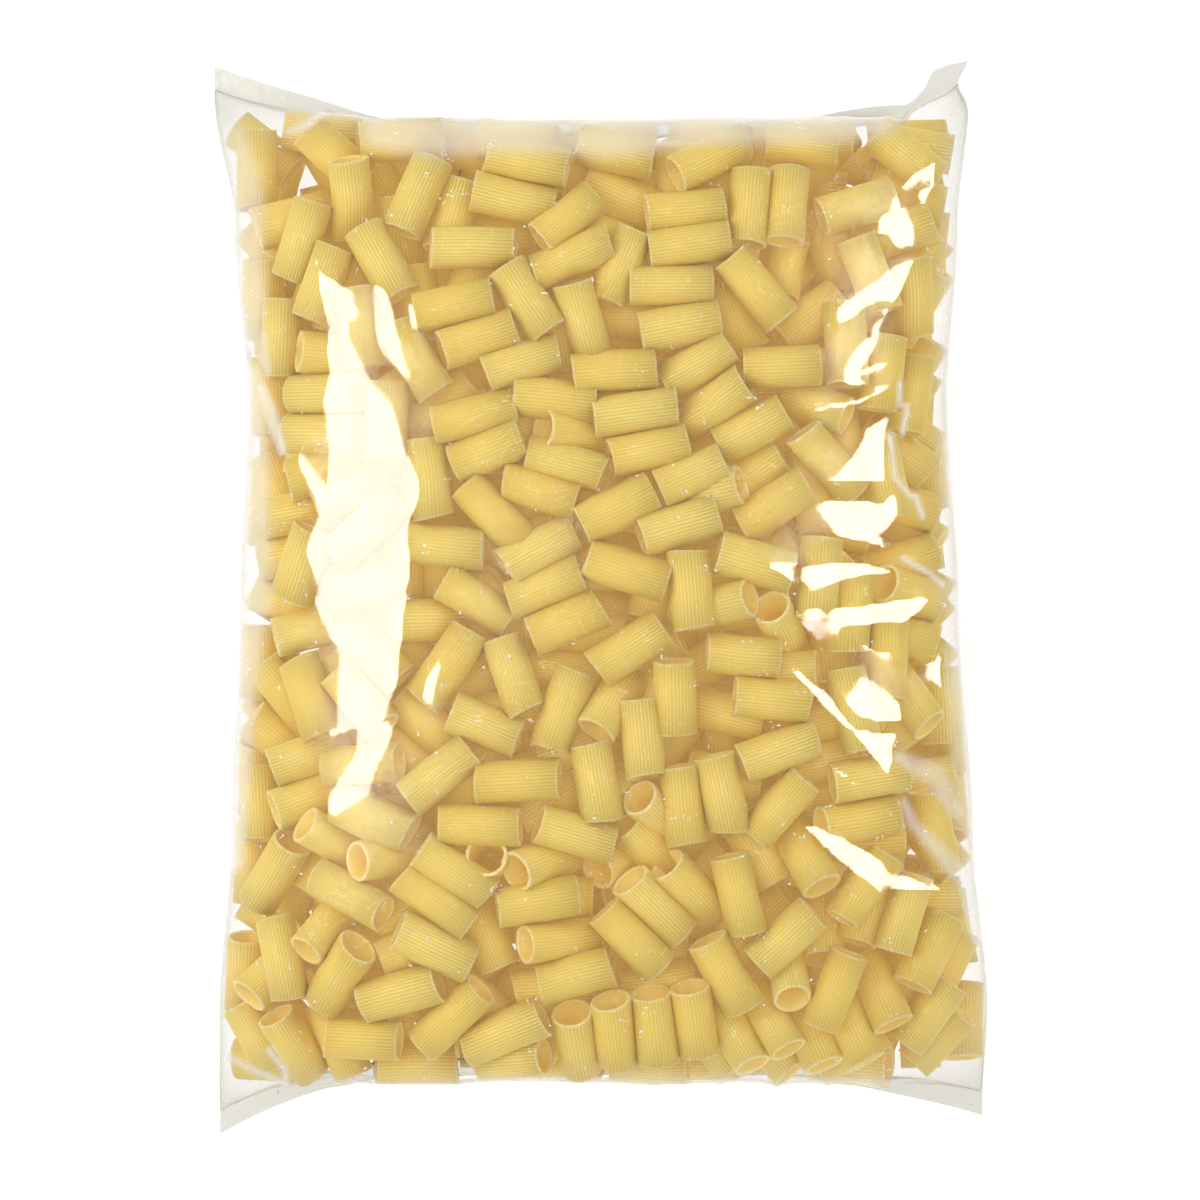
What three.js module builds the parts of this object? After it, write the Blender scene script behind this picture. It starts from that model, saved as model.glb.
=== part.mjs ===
// A clear pillow bag full of short ribbed pasta tubes, lying on its back: one closed solid with the
// outer shape of the filled bag, its four empty corners and its two flat end seals.
// Millimetres, +Z up. The bag's length runs along Y, and z = 0 is the surface that it lies on.

import * as THREE from 'three';
import { mergeVertices } from 'three/addons/utils/BufferGeometryUtils.js';

// The filled body
const HALF_LENGTH = 181;         // middle of the bag to the root of an end seal, on the centre line
const MEAN_HALF_WIDTH = 141;
const SIDE_HEIGHT = 40;          // the bag's widest line above the surface that it lies on
const CROWN_HEIGHT = 60;         // the top of the bag above that line
const ACROSS_ROUNDNESS = 2.7;    // exponents of the crown's two superellipses
const ALONG_ROUNDNESS = 3.4;
const BASE_ROUNDNESS = 4.5;      // exponent of the rounding into the flat base
const BASE_FLATTENING = 1.09;    // over 1, so that the base is truly flat
const SAG = { depth: 3.5, wavesAcross: 1.3, wavesAlong: 1.7 };   // slack in the crown

// Each side's distance from the centre line: [place along the bag from -1 to 1, left, right]
const SIDE_STATIONS = [
  [-1.0, 150.0, 150.5],
  [-0.85, 149.0, 151.5],
  [-0.5, 144.0, 145.5],
  [0.0, 140.5, 140.0],
  [0.42, 137.5, 135.5],
  [0.75, 142.5, 139.5],
  [1.0, 151.5, 144.5],
];

// The ends, seen from above
const END_BOW = 4;               // how far an end's outline swings out towards its corners
const END_LIFT = 5;              // how far an end seal rises above the sides' widest line
const EARS = {
  // reach: the empty corner beyond the end line; start: where it begins, as a share of the half
  // width; rise: the exponent of its slope; lobe: how far its free edge spreads inwards; height: its
  // tip above the surface
  lowerLeft: { reach: 17.5, start: 0.7, rise: 1.4, lobe: 0, height: 17 },
  lowerRight: { reach: 9.5, start: 0.66, rise: 1.4, lobe: 0, height: 24 },
  upperLeft: { reach: 15, start: 0.58, rise: 1.4, lobe: 0, height: 27 },
  upperRight: { reach: 16, start: 0.83, rise: 0.5, lobe: 8, height: 40 },
};
// The upper right corner is gathered into a neck below its tip
const NECK = { x: 137, y: 201, halfLength: 6.5, halfWidth: 22, pull: 0.62 };

// The flat seal across each end
const SEAL_WIDTH = 9;
const SEAL_THICKNESS = 1.2;
const SEAL_DROOP = THREE.MathUtils.degToRad(55);   // how far it hangs in the middle of an end
const SEAL_DROOP_ENDS = [0.5, 0.85];               // where, across the bag, it straightens out

// The pasta tubes that press against the film from inside
const TUBE = { length: 31, diameter: 16, height: 3.4 };
const TUBE_PITCH = { across: 28, along: 27 };
const TUBE_JITTER = 5;
const TUBE_SEED = 7;
const HALF_ARC = 170;            // from the crown's centre line to the side line, over the film
const RELIEF_FADE = 0.75;        // of the crown's height, below which the relief dies away

// How finely the surface is divided
const ACROSS_STEPS = 48;
const BODY_STEPS = 56;
const SEAL_STEPS = 1;

const { clamp, lerp, smoothstep } = THREE.MathUtils;

function random(seed) {
  let state = seed;
  return () => {
    state = (state * 1664525 + 1013904223) % 4294967296;
    return state / 4294967296;
  };
}

// A quarter of the crown's section, from the middle (0, 1) to the edge (1, 0)
class Crown extends THREE.Curve {
  constructor(halfSpan, roundness) {
    super();
    this.halfSpan = halfSpan;
    this.roundness = roundness;
  }

  getPoint(t, target = new THREE.Vector3()) {
    const angle = (t * Math.PI) / 2;
    const power = 2 / this.roundness;
    return target.set(
      this.halfSpan * Math.sin(angle) ** power,
      CROWN_HEIGHT * Math.max(0, Math.cos(angle)) ** power,
      0,
    );
  }
}

// Places from -1 to 1, evenly spaced along the crown's curved section
function crownPlaces(halfSpan, roundness, steps) {
  const quarter = new Crown(halfSpan, roundness).getSpacedPoints(steps / 2);
  const half = quarter.map((point) => point.x / halfSpan);
  return [...half.slice(1).reverse().map((place) => -place), ...half];
}

const superellipse = (place, roundness) =>
  Math.max(0, 1 - Math.abs(place) ** roundness) ** (1 / roundness);

// The side line's distance from the centre line: column 1 of the stations is left, 2 is right
function sideDistance(along, column) {
  const next = clamp(
    SIDE_STATIONS.findIndex((station) => station[0] >= along),
    1,
    SIDE_STATIONS.length - 1,
  );
  const [from, to] = [SIDE_STATIONS[next - 1], SIDE_STATIONS[next]];
  return lerp(from[column], to[column], smoothstep(along, from[0], to[0]));
}

function earAt(across, along) {
  if (along < 0) return across < 0 ? EARS.lowerLeft : EARS.lowerRight;
  return across < 0 ? EARS.upperLeft : EARS.upperRight;
}

// 0 where an ear begins on the end's line, 1 at its tip
const earShare = (across, ear) => clamp((Math.abs(across) - ear.start) / (1 - ear.start), 0, 1);

function planPoint(across, along) {
  const ear = earAt(across, along);
  const x = across * sideDistance(along, across < 0 ? 1 : 2);
  const reach = END_BOW * across ** 2 + ear.reach * earShare(across, ear) ** ear.rise;
  const y = along * HALF_LENGTH + Math.sign(along) * reach * Math.abs(along) ** 3;
  return { x, y };
}

// The height of the line where the upper and the lower film meet
function midHeight(across, along) {
  const ear = earAt(across, along);
  const rise = END_LIFT * along ** 4 * (1 - across ** 2);
  const corner = earShare(across, ear) * Math.abs(along) ** 8;
  return lerp(SIDE_HEIGHT + rise, ear.height, corner);
}

function crownHeight(across, along) {
  const shape = superellipse(across, ACROSS_ROUNDNESS) * superellipse(along, ALONG_ROUNDNESS);
  const sag =
    Math.sin(SAG.wavesAcross * Math.PI * across + 0.6) * Math.cos(SAG.wavesAlong * Math.PI * along);
  return CROWN_HEIGHT * shape + SAG.depth * sag * shape ** 2;
}

function baseShare(across, along) {
  const shape = superellipse(across, BASE_ROUNDNESS) * superellipse(along, BASE_ROUNDNESS);
  return Math.min(1, BASE_FLATTENING * shape);
}

// Upper or lower film of the body, side being 1 or -1
function bodyPoint(across, along, side) {
  const { x, y } = planPoint(across, along);
  const middle = midHeight(across, along);
  const half = SEAL_THICKNESS / 2;
  const up = middle + half + crownHeight(across, along);
  const down = (middle - half) * (1 - baseShare(across, along));
  return new THREE.Vector3(x, y, side > 0 ? up : down);
}

// A point of an end seal, out being 0 at its root and 1 at its free edge
function sealPoint(across, end, out, side) {
  const root = planPoint(across, end);
  const ear = earAt(across, end);
  const spread = ear.lobe * Math.sin(Math.PI * earShare(across, ear)) * out;
  const straight = smoothstep(Math.abs(across), ...SEAL_DROOP_ENDS);
  const droop = SEAL_DROOP * (1 - straight);
  const reach = SEAL_WIDTH * out;
  const half = (side * SEAL_THICKNESS) / 2;
  return new THREE.Vector3(
    root.x - Math.sign(across) * spread,
    root.y + end * (reach * Math.cos(droop) + half * Math.sin(droop) * out),
    midHeight(across, end) - reach * Math.sin(droop) + half * lerp(1, Math.cos(droop), out),
  );
}

// Draws the film of the gathered corner in towards the middle of its neck
function gatherNeck(point) {
  const nearness =
    Math.exp(-(((point.y - NECK.y) / NECK.halfLength) ** 2)) *
    Math.exp(-(((point.x - NECK.x) / NECK.halfWidth) ** 4));
  point.x = lerp(point.x, NECK.x, NECK.pull * nearness);
  return point;
}

// Where the tubes lie under the film, in distances over the bag's surface
function layTubes() {
  const draw = random(TUBE_SEED);
  const spread = () => (draw() * 2 - 1) * TUBE_JITTER;
  const tubes = [];
  for (let y = -HALF_LENGTH; y < HALF_LENGTH; y += TUBE_PITCH.along) {
    for (let s = -HALF_ARC; s < HALF_ARC; s += TUBE_PITCH.across) {
      tubes.push({ s: s + spread(), y: y + spread(), angle: draw() * Math.PI });
    }
  }
  return tubes;
}

// How far the nearest tube lifts the film at a place on it
function tubeRelief(tubes, s, y) {
  let lift = 0;
  for (const tube of tubes) {
    const ds = s - tube.s;
    const dy = y - tube.y;
    if (Math.hypot(ds, dy) > TUBE.length) continue;
    const endways = Math.abs(ds * Math.cos(tube.angle) + dy * Math.sin(tube.angle));
    const sideways = Math.abs(dy * Math.cos(tube.angle) - ds * Math.sin(tube.angle));
    const round = Math.sqrt(Math.max(0, 1 - (sideways / (TUBE.diameter / 2)) ** 2));
    const ending = 1 - smoothstep(endways, TUBE.length * 0.36, TUBE.length * 0.55);
    lift = Math.max(lift, TUBE.height * round * ending);
  }
  return lift;
}

function packetGeometry() {
  const steps = BODY_STEPS + 2 * SEAL_STEPS;
  const box = new THREE.BoxGeometry(2, 2, 2, ACROSS_STEPS, steps, 1);
  box.deleteAttribute('normal');
  box.deleteAttribute('uv');
  const geometry = mergeVertices(box);
  const position = geometry.getAttribute('position');
  const columns = crownPlaces(MEAN_HALF_WIDTH, ACROSS_ROUNDNESS, ACROSS_STEPS);
  const rows = crownPlaces(HALF_LENGTH, ALONG_ROUNDNESS, BODY_STEPS);
  const places = [];
  for (let i = 0; i < position.count; i += 1) {
    const column = Math.round(((position.getX(i) + 1) / 2) * ACROSS_STEPS);
    const row = Math.round(((position.getY(i) + 1) / 2) * steps) - SEAL_STEPS;
    const side = Math.sign(position.getZ(i));
    const across = columns[column];
    const past = Math.max(-row, row - BODY_STEPS, 0) / SEAL_STEPS;
    const along = rows[clamp(row, 0, BODY_STEPS)];
    const point = past > 0
      ? sealPoint(across, Math.sign(along), past, side)
      : bodyPoint(across, along, side);
    gatherNeck(point);
    position.setXYZ(i, point.x, point.y, point.z);
    places.push({ column, across, along, side, inBody: past === 0 });
  }
  geometry.computeVertexNormals();
  pressTubesOut(geometry, places);
  return geometry;
}

// Lifts the upper film over the tubes, along its own normals
function pressTubesOut(geometry, places) {
  const position = geometry.getAttribute('position');
  const normal = geometry.getAttribute('normal');
  const tubes = layTubes();
  const columnPitch = (2 * HALF_ARC) / ACROSS_STEPS;
  places.forEach(({ column, across, along, side, inBody }, i) => {
    if (side < 0 || !inBody) return;
    const s = (column - ACROSS_STEPS / 2) * columnPitch;
    const fullness = crownHeight(across, along) / CROWN_HEIGHT;
    const lift =
      tubeRelief(tubes, s, position.getY(i)) * smoothstep(fullness, 0, RELIEF_FADE);
    position.setXYZ(
      i,
      position.getX(i) + lift * normal.getX(i),
      position.getY(i) + lift * normal.getY(i),
      position.getZ(i) + lift * normal.getZ(i),
    );
  });
}

// Stands the solid on z = 0 with its box centred on the origin
function centre(geometry) {
  geometry.computeBoundingBox();
  const { min, max } = geometry.boundingBox;
  geometry.translate(-(min.x + max.x) / 2, -(min.y + max.y) / 2, -min.z);
  return geometry;
}

function makePacket() {
  const film = new THREE.MeshStandardMaterial({
    color: '#e3cb86',
    roughness: 0.35,
    metalness: 0,
  });
  const packet = new THREE.Mesh(centre(packetGeometry()), film);
  packet.name = 'packet';
  return packet;
}

const group = new THREE.Group();
group.add(makePacket());

export default group;
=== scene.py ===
# A clear pillow bag full of rigatoni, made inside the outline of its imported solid. Metres, +Z up.
import math

import bmesh
import bpy
import numpy as np
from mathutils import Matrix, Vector
from mathutils.bvhtree import BVHTree


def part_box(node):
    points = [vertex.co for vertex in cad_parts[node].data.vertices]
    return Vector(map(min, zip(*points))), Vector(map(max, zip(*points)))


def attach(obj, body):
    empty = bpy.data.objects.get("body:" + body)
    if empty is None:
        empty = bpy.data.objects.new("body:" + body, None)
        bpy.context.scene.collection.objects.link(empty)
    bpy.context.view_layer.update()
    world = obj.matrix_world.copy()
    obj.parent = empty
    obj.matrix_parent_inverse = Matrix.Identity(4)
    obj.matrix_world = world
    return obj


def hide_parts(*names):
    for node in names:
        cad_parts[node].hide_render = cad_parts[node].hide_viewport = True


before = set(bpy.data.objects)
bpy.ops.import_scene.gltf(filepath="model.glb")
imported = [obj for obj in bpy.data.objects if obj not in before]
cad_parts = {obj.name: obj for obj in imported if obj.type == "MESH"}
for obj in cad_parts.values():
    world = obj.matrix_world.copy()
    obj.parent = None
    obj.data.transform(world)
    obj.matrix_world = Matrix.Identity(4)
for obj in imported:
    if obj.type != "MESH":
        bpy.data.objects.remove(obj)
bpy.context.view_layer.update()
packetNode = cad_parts["packet"]
print("frame loaded")


def smoothStep(value, start, end):
    share = np.clip((value - start) / (end - start), 0, 1)
    return share * share * (3 - 2 * share)


def addObject(name, data):
    thing = bpy.data.objects.new(name, data)
    bpy.context.scene.collection.objects.link(thing)
    return thing


def meshFrom(name, bm):
    mesh = bpy.data.meshes.new(name)
    bm.to_mesh(mesh)
    bm.free()
    return mesh


def storeValues(mesh, values):
    # one number for each point under each name, for the materials to read
    for key, numbers in values.items():
        layer = mesh.attributes.new(key, "FLOAT", "POINT")
        layer.data.foreach_set("value", numbers.astype(np.float32).ravel())


# Pasta: where the tubes lie

heap = {
    "seed": 5,
    "tubes": 830,
    "tries": 8,              # places drawn for each tube, of which the free ones are taken
    "steps": 420,
    "fieldStep": 0.006,      # grid that holds the distance to the bag's wall
    "wallGap": 0.0012,
    "wallPull": 0.0004,      # how far a step draws the outer tubes towards the film
    "endShare": 0.47,        # of a radius, from a tube's cut end to the middle of its last ball
    "growFrom": 0.45,        # tubes start thin and grow to full size as they push apart
    "grownAt": 0.45,         # of all steps
    "stride": 1.2,           # how far two tubes that overlap move apart, of what they need
    "crowding": 0.45,        # how much each tube that it touches shortens a tube's stride
    "regather": 6,           # steps between two searches for neighbours
    "neighbourReach": 2.04,  # of the middle-to-end length of a tube
    "tiltSpread": 0.3,
    "lowTiltSpread": 0.5,    # the lower third shows more open ends
    "lowBelow": -0.06,
    "levelling": 0.05,       # what each step takes from a tube's tilt
    "lowLevelling": 0.012,
    "hold": 0.3,             # how firmly a listed tube keeps its place
    "laidHeights": (0.03, 0.11, 161),        # lowest, highest and number of heights tried for it
    "underDrop": 1.5,        # in radii, how much lower the next layer of them starts
    "sink": 0.0004,          # how far a step moves other tubes down from among them
    "sinkWithin": 1.8,       # in radii, from the wall
    "sinkAbove": 0.04,
    "pullWithin": 2.2,       # in radii, from the wall
    "floorGap": 0.0004,
    "endRoom": (0.008, 0.006),       # how much further the pasta fills the lower and the upper end
    "endRoomFrom": (0.15, 0.18),     # distance along the bag where that room starts and is full
    "endRoomWithin": (0.105, 0.135), # distance to the side where it starts to close and is closed
    # the tubes in plain view, listed one by one: X and Y in millimetres, direction and tilt in degrees
    "shown": [
        (-33, 153, -17, 0), (-48, 132, -13, 0), (-13, 146, 46, -12), (33, 148, 3, 0), (35, 136, 7, 0),
        (-10, 130, 17, 0), (26, 121, -7, 0), (59, 122, -57, 0), (-28, 115, -60, 0), (-56, 112, 13, 0),
        (-46, 100, 21, 0), (-30, 91, 23, 0), (-7, 107, -76, 0), (31, 104, 8, 0), (36, 90, 30, 0),
        (6, 87, 5, 0), (-18, 76, -3, 0), (13, 72, 4, 0), (43, 76, 35, 0), (-47, 70, 17, 0),
        (68, 88, 7, 0), (58, 64, 32, 0), (18, 57, 14, 0), (-13, 54, -12, 0), (-42, 56, 21, 0),
        (34, 48, 26, 0), (6, 36, 17, 0), (-22, 41, -25, 0), (-39, 32, -52, 0), (30, 29, 20, 0),
        (66, 36, 32, 0), (-64, 47, -88, 0), (-60, 22, -9, 0), (-22, 21, 30, 0), (-70, 93, -60, 0),
        (-56, 147, 72, -8), (55, 150, 78, -12), (71, 152, 84, -14), (-70, 155, 65, -8),
        (-21, 5, 26, 0), (-14, -8, 22, 0), (10, 11, -12, 0), (35, 4, -84, 0), (68, -11, 115, 50),
        (-46, -1, -30, 0), (-58, -25, 57, 0), (-33, -28, -74, 0), (-14, -41, 67, 0), (11, -19, 31, 0),
        (-44, -47, -18, 0), (-61, -67, 37, 0), (-32, -68, -2, 0), (-1, -69, -85, -6),
        (17, -53, -78, -4), (27, -37, 82, 15), (55, -21, -8, 0), (66, -37, -1, 0), (68, -58, 20, 0),
        (48, -74, -73, 0), (30, -79, -88, -6), (-46, -88, 0, 0), (-9, -89, -11, -10),
        (-55, -103, -30, 0), (-62, -114, -42, 0), (-22, -100, 22, -35), (-25, -114, 5, 0),
        (34, -110, -48, -28), (22, -117, -38, -22), (53, -113, -76, -8), (68, -79, 46, 0),
    ],
    # the ones that show between them, a layer further down
    "under": [
        (-38, 142, -15, 0), (8, 155, -22, 0), (8, 128, 62, 0), (11, 109, 0, 0), (52, 109, -65, 0),
        (57, 47, 33, 0), (30, 162, -88, -10), (72, 130, 80, -15), (49, 12, 0, 0), (49, -4, 0, 20),
        (6, -41, 55, -25), (48, -43, -13, 0), (14, -79, -10, 0), (60, -96, -58, 0),
        (19, -94, -45, -25), (-74, -18, -55, 0), (-73, -61, -40, 0),
    ],
}

tube = {
    "length": 0.030,
    "radius": 0.008,
    "wall": 0.0014,
    "ribs": 36,
    "ribDepth": 0.0004,
    "lengthSpread": 0.045,
    "radiusSpread": 0.025,
    "bend": 0.00128,         # sideways sweep of the most bent ones
    "slant": 0.09,           # slope of a cut end
    "oval": 0.035,
    "widest": 2,             # times its spread, how far a tube's size may lie from the mean
    "mostSlanted": 2.2,
}


def distanceField(node, step):
    low, high = (np.array(corner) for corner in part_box(node.name))
    low = low - 2 * step
    size = np.ceil((high + 2 * step - low) / step).astype(int) + 1
    tree = BVHTree.FromObject(node, bpy.context.evaluated_depsgraph_get())
    field = np.zeros(size)
    for cell in np.ndindex(*size):
        point = Vector(low + step * np.array(cell))
        hit, normal, _, distance = tree.find_nearest(point)
        field[cell] = math.copysign(distance, (point - hit).dot(normal))
    x, y = (low[k] + step * np.arange(size[k]) for k in (0, 1))
    room = np.where(y < 0, *heap["endRoom"]) * smoothStep(np.abs(y), *heap["endRoomFrom"])
    field -= (room * (1 - smoothStep(np.abs(x), *heap["endRoomWithin"]))[:, None])[:, :, None]
    return {"values": field, "low": low, "step": step}


def readField(field, points):
    # distance to the wall, negative inside, and the way out
    values = field["values"]
    place = (points - field["low"]) / field["step"]
    cell = np.clip(np.floor(place).astype(int), 0, np.array(values.shape) - 2)
    part = np.clip(place - cell, 0, 1)
    distance = np.zeros(len(points))
    slope = np.zeros((len(points), 3))
    for corner in np.ndindex(2, 2, 2):
        value = values[tuple((cell + corner).T)]
        weight = np.where(corner, part, 1 - part)
        distance += value * weight.prod(axis=1)
        sign = np.where(corner, 1, -1)
        slope[:, 0] += sign[0] * value * weight[:, 1] * weight[:, 2]
        slope[:, 1] += sign[1] * value * weight[:, 0] * weight[:, 2]
        slope[:, 2] += sign[2] * value * weight[:, 0] * weight[:, 1]
    size = np.linalg.norm(slope, axis=1, keepdims=True)
    return distance, slope / np.maximum(size, 1e-9)


def closestPlaces(startA, endA, startB, endB):
    # share along each of two sets of segments where they come nearest to each other
    alongA, alongB, between = endA - startA, endB - startB, startA - startB
    a, b, e = (alongA * alongA).sum(1), (alongA * alongB).sum(1), (alongB * alongB).sum(1)
    c, f = (alongA * between).sum(1), (alongB * between).sum(1)
    spread = np.maximum(a * e - b * b, 1e-14)
    shareA = np.clip((b * f - c * e) / spread, 0, 1)
    shareB = (b * shareA + f) / e
    shareA = np.where(shareB < 0, -c / a, np.where(shareB > 1, (b - c) / a, shareA))
    return np.clip(shareA, 0, 1)[:, None], np.clip(shareB, 0, 1)[:, None]


def pointing(angle, tilt):
    return np.stack(
        [np.cos(angle) * np.cos(tilt), np.sin(angle) * np.cos(tilt), np.sin(tilt)], axis=1)


def layByHand(field):
    # the listed tubes, as high under the bag's upper wall as they fit
    rows = np.array(heap["shown"] + heap["under"], dtype=float)
    heights = np.linspace(*heap["laidHeights"])
    columns = np.zeros((len(rows), len(heights), 3))
    columns[..., :2] = rows[:, None, :2] / 1000
    columns[..., 2] = heights
    distance = readField(field, columns.reshape(-1, 3))[0].reshape(len(rows), -1)
    top = np.where(distance < -tube["radius"] - heap["wallGap"], heights, 0).max(axis=1)
    top[len(heap["shown"]):] -= heap["underDrop"] * tube["radius"]
    centres = np.column_stack([rows[:, :2] / 1000, top])
    return centres, pointing(np.radians(rows[:, 2]), np.radians(rows[:, 3]))


def amongLaid(field, points, laid):
    low, high = laid[:, :2].min(axis=0), laid[:, :2].max(axis=0)
    within = ((points[:, :2] > low) & (points[:, :2] < high)).all(axis=1)
    nearWall = readField(field, points)[0] > -heap["sinkWithin"] * tube["radius"]
    return within & nearWall & (points[:, 2] > heap["sinkAbove"])


def scatterRest(field, laid, rng):
    low, high = (np.array(corner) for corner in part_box(packetNode.name))
    points = rng.uniform(low, high, (heap["tubes"] * heap["tries"], 3))
    free = (readField(field, points)[0] < -tube["radius"]) & ~amongLaid(field, points, laid)
    centres = points[free][:heap["tubes"] - len(laid)]
    angle = rng.uniform(0, math.pi, len(centres))
    spread = np.where(
        centres[:, 1] < heap["lowBelow"], heap["lowTiltSpread"], heap["tiltSpread"])
    return centres, pointing(angle, rng.normal(0, 1, len(centres)) * spread)


def pushApart(starts, ends, pairs, radius):
    # each tube acts as a rod with round ends, and leaves the neighbours that it cuts into
    first, second = pairs
    shareA, shareB = closestPlaces(starts[first], ends[first], starts[second], ends[second])
    gap = (starts[first] + shareA * (ends[first] - starts[first])
           - starts[second] - shareB * (ends[second] - starts[second]))
    distance = np.maximum(np.linalg.norm(gap, axis=1), 1e-7)
    near = distance < 2 * radius
    first, second, shareA, shareB = first[near], second[near], shareA[near], shareB[near]
    push = gap[near] * (0.5 * (2 * radius - distance[near]) / distance[near])[:, None]
    startMoves, endMoves, touches = np.zeros_like(starts), np.zeros_like(ends), np.zeros(len(starts))
    np.add.at(startMoves, first, push * (1 - shareA))
    np.add.at(endMoves, first, push * shareA)
    np.add.at(startMoves, second, -push * (1 - shareB))
    np.add.at(endMoves, second, -push * shareB)
    np.add.at(touches, first, 1)
    np.add.at(touches, second, 1)
    ease = (heap["stride"] / np.maximum(1, heap["crowding"] * touches))[:, None]
    return starts + startMoves * ease, ends + endMoves * ease


def keepInside(field, points, pull):
    # back inside the wall, or towards it by the pull where it is near
    distance, outwards = readField(field, points)
    past = distance + tube["radius"] + heap["wallGap"]
    inwards = outwards * np.maximum(past, 0)[:, None]
    nearWall = (past < 0) & (distance > -heap["pullWithin"] * tube["radius"])
    drawn = outwards * (np.minimum(-past, pull) * nearWall)[:, None]
    return points - inwards + drawn


def packTubes(field):
    rng = np.random.default_rng(heap["seed"])
    half = tube["length"] / 2 - heap["endShare"] * tube["radius"]
    laid, laidAxes = layByHand(field)
    rest, restAxes = scatterRest(field, laid, rng)
    centres, axes = np.concatenate([laid, rest]), np.concatenate([laidAxes, restAxes])
    starts, ends = centres - half * axes, centres + half * axes
    byHand, others, hold = slice(0, len(laid)), slice(len(laid), None), heap["hold"]
    grownStep = heap["grownAt"] * heap["steps"]
    reach = heap["neighbourReach"] * (half + tube["radius"])
    for step in range(heap["steps"]):
        share = min(1, heap["growFrom"] + (1 - heap["growFrom"]) * step / grownStep)
        if step % heap["regather"] == 0:
            centres = (starts + ends) / 2
            square = ((centres[:, None] - centres[None]) ** 2).sum(2)
            pairs = np.where(np.triu(square < reach ** 2, 1))
        starts, ends = pushApart(starts, ends, pairs, tube["radius"] * share)
        starts = keepInside(field, starts, heap["wallPull"])
        ends = keepInside(field, ends, heap["wallPull"])
        centres = keepInside(field, (starts + ends) / 2, 0)
        centres[byHand, :2] += hold * (laid - centres[byHand])[:, :2]
        centres[others, 2] -= heap["sink"] * amongLaid(field, centres[others], laid)
        axes = (ends - starts) / (2 * half)
        axes[byHand] += hold * (laidAxes - axes[byHand])
        axes[others, 2] *= 1 - np.where(
            centres[others, 1] > heap["lowBelow"], heap["levelling"], heap["lowLevelling"])
        axes /= np.linalg.norm(axes, axis=1, keepdims=True)
        starts, ends = centres - half * axes, centres + half * axes
    return centres, axes


# Pasta: the tubes themselves

def tubeMaster():
    # one ribbed tube of length 1 and radius 1 along Z: its points, triangles, bore and crests of ribs
    bm = bmesh.new()
    bore = 1 - tube["wall"] / tube["radius"]
    ribAngle = 2 * math.pi / tube["ribs"]
    ring = bmesh.ops.create_circle(bm, segments=2 * tube["ribs"], radius=1)["verts"]
    for vert in ring[::2]:
        vert.co *= 1 - tube["ribDepth"] / tube["radius"]
    bmesh.ops.translate(bm, verts=ring, vec=(0, 0, -0.5))
    rim = bm.edges[:]
    for height, isBore in ((0, False), (0.5, False), (0.5, True), (0, True), (-0.5, True)):
        grown = bmesh.ops.extrude_edge_only(bm, edges=rim)["geom"]
        rim = [part for part in grown if isinstance(part, bmesh.types.BMEdge)]
        for vert in (part for part in grown if isinstance(part, bmesh.types.BMVert)):
            angle = math.atan2(vert.co.y, vert.co.x)
            radius = math.hypot(vert.co.x, vert.co.y)
            if isBore:
                # two neighbours share a place, so the bore has half as many sides
                angle = ribAngle * math.floor(angle / ribAngle + 0.25)
                radius = bore
            vert.co = (radius * math.cos(angle), radius * math.sin(angle), height)
    bmesh.ops.bridge_loops(bm, edges=[edge for edge in bm.edges if edge.is_boundary])
    bmesh.ops.remove_doubles(bm, verts=bm.verts, dist=0.001)
    bmesh.ops.recalc_face_normals(bm, faces=bm.faces)
    bmesh.ops.triangulate(bm, faces=bm.faces)
    bm.verts.index_update()
    points = np.array([vert.co for vert in bm.verts])
    faces = np.array([[vert.index for vert in face.verts] for face in bm.faces])
    bm.free()
    radii = np.hypot(points[:, 0], points[:, 1])
    inside = (radii < (1 + bore) / 2).astype(float)
    crest = (radii > 1 - 0.5 * tube["ribDepth"] / tube["radius"]).astype(float)
    return points, faces, inside, crest


def drawSpread(rng, shape, widest):
    return rng.normal(0, 1, shape).clip(-widest, widest)


def shapeTubes(master, centres, axes, rng):
    # every tube's points at once: (tubes, points, 3)
    count = len(centres)
    length = tube["length"] * (1 + tube["lengthSpread"] * drawSpread(rng, (count, 1), tube["widest"]))
    radius = tube["radius"] * (1 + tube["radiusSpread"] * drawSpread(rng, (count, 1), tube["widest"]))
    oval = 1 + tube["oval"] * drawSpread(rng, (count, 1), tube["widest"])
    bend = tube["bend"] * rng.uniform(-1, 1, (count, 1)) ** 3
    slants = tube["slant"] * drawSpread(rng, (count, 2), tube["mostSlanted"])
    x, y, z = (master[None, :, k] for k in range(3))
    sweep = bend * (1 - 4 * z ** 2)
    across, beside = x * radius * oval, y * radius / oval
    slope = np.where(z > 0, slants[:, :1], slants[:, 1:])
    along = z * length + slope * across * (2 * z) ** 2
    across = across + sweep
    spin = rng.uniform(0, 2 * math.pi, (count, 1))
    sideways = np.cross(axes, np.where(np.abs(axes[:, 2:]) < 0.9, (0, 0, 1), (1, 0, 0)))
    sideways /= np.linalg.norm(sideways, axis=1, keepdims=True)
    upwards = np.cross(axes, sideways)
    first = sideways * np.cos(spin) + upwards * np.sin(spin)
    second = np.cross(axes, first)
    return (centres[:, None] + across[..., None] * first[:, None]
            + beside[..., None] * second[:, None] + along[..., None] * axes[:, None])


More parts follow.
